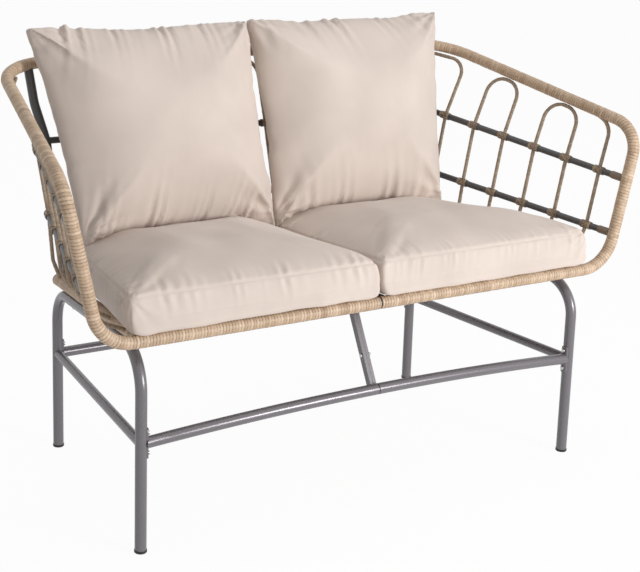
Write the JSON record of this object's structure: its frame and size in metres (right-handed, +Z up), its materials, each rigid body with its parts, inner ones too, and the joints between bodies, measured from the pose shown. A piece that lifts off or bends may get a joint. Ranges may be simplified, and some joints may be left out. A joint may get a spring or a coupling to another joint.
{
  "type": "patio loveseat",
  "caption": "Outdoor loveseat: wicker-wrapped bent-tube rim and open rod lattice on steel tube legs, with loose seat cushions and leaning back cushions.",
  "frame": {"origin": "on the floor at the middle of the seat, midway between the front rail and the back rail", "axes": "+X to the sitter's left when seated, -Y out of the front, +Z up"},
  "size_m": [1.325, 0.6218, 0.9058],
  "materials": {
    "frame_steel": "semi-gloss grey powder coat",
    "bar_steel": "semi-gloss grey powder coat",
    "inner_steel": "plain tube",
    "cane_wrap": "tan resin cane wound side by side",
    "rod_cane": "grey-brown resin cane",
    "cushion_fabric": "woven outdoor cloth, sewn seams",
    "foot_plastic": "moulded",
    "zinc_fastener": "zinc plated"
  },
  "bodies": {
    "root": {"centre_brace_bolt": "zinc_fastener", "centre_nuts": "zinc_fastener", "centre_tube_bolts": "zinc_fastener", "foot_caps": "foot_plastic", "frame_bolts": "zinc_fastener", "left_back_cushion": "cushion_fabric", "left_back_lashings": "cane_wrap", "left_back_rods": "rod_cane", "left_centre_brace": "frame_steel", "left_corner_upright": "rod_cane", "left_front_stretcher": "frame_steel", "left_leg_frame": "frame_steel", "left_lower_back_bar": "bar_steel", "left_lower_side_bar": "bar_steel", "left_rear_stretcher": "frame_steel", "left_rim_tube": "inner_steel", "left_rim_wrap": "cane_wrap", "left_seat_centre_tube": "frame_steel", "left_seat_cushion": "cushion_fabric", "left_seat_rear_rail": "inner_steel", "left_seat_rear_rail_wrap": "cane_wrap", "left_seat_side_rail": "inner_steel", "left_seat_side_rail_wrap": "cane_wrap", "left_seat_slats": "frame_steel", "left_side_lashings": "cane_wrap", "left_side_rods": "rod_cane", "left_side_stretcher": "frame_steel", "left_upper_back_bar": "bar_steel", "left_upper_side_bar": "bar_steel", "rail_caps": "foot_plastic", "rail_dowels": "inner_steel", "right_back_cushion": "cushion_fabric", "right_back_lashings": "cane_wrap", "right_back_rods": "rod_cane", "right_centre_brace": "frame_steel", "right_corner_upright": "rod_cane", "right_front_stretcher": "frame_steel", "right_leg_frame": "frame_steel", "right_lower_back_bar": "bar_steel", "right_lower_side_bar": "bar_steel", "right_rear_stretcher": "frame_steel", "right_rim_tube": "inner_steel", "right_rim_wrap": "cane_wrap", "right_seat_centre_tube": "frame_steel", "right_seat_cushion": "cushion_fabric", "right_seat_rear_rail": "inner_steel", "right_seat_rear_rail_wrap": "cane_wrap", "right_seat_side_rail": "inner_steel", "right_seat_side_rail_wrap": "cane_wrap", "right_seat_slats": "frame_steel", "right_side_lashings": "cane_wrap", "right_side_rods": "rod_cane", "right_side_stretcher": "frame_steel", "right_upper_back_bar": "bar_steel", "right_upper_side_bar": "bar_steel", "saddle_bolts": "zinc_fastener", "saddle_plates": "frame_steel", "stretcher_dowels": "inner_steel"}
  },
  "joints": []
}
